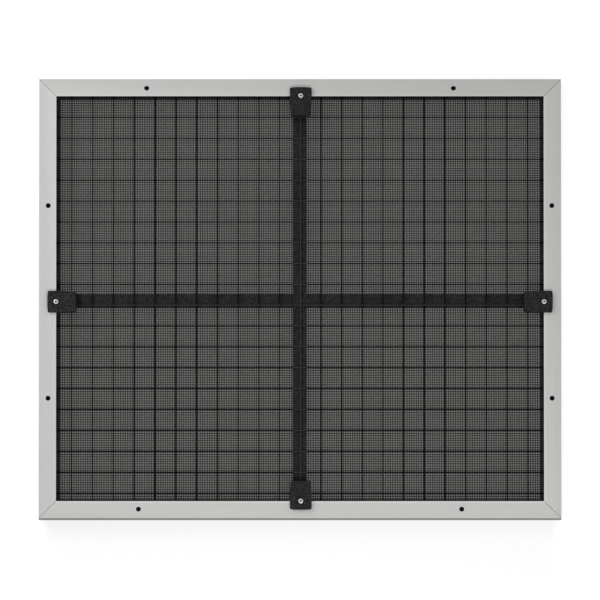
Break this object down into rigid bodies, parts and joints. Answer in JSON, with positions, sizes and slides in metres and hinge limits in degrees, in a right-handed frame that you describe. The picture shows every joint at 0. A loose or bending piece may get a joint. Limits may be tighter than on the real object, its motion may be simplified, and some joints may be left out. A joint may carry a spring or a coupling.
{
  "type": "mesh pre-filter",
  "caption": "Flat rectangular air pre-filter: fine black screen behind a welded wire grid and cross brace, held in a mitred aluminium frame with moulded clips.",
  "frame": {"origin": "middle of the footprint, on the plane of the rear lips that the filter lies on", "axes": "+X along the long side, +Y along the short side towards the top of the picture, +Z out of the front face"},
  "size_m": [0.635, 0.538, 0.0256],
  "materials": {
    "frame_aluminium": "satin, light grey",
    "key_aluminium": "plain mill finish",
    "screen_strand": "fine black woven strands",
    "black_stock": "matte black strip",
    "coated_wire": "black coated wire",
    "clip_plastic": "moulded black, fine grain",
    "rivet_metal": "bright"
  },
  "bodies": {
    "root": {"rail_bottom": "frame_aluminium", "rail_right": "frame_aluminium", "rail_top": "frame_aluminium", "rail_left": "frame_aluminium", "corner_key_bottom_left": "key_aluminium", "corner_key_bottom_right": "key_aluminium", "corner_key_top_right": "key_aluminium", "corner_key_top_left": "key_aluminium", "fine_screen": "screen_strand", "retainer_bottom": "black_stock", "retainer_right": "black_stock", "retainer_top": "black_stock", "retainer_left": "black_stock", "brace_horizontal": "black_stock", "brace_vertical": "black_stock", "wire_grid": "coated_wire", "clip_bottom": "clip_plastic", "clip_right": "clip_plastic", "clip_top": "clip_plastic", "clip_left": "clip_plastic", "rivet_bottom": "rivet_metal", "rivet_right": "rivet_metal", "rivet_top": "rivet_metal", "rivet_left": "rivet_metal"}
  },
  "joints": []
}
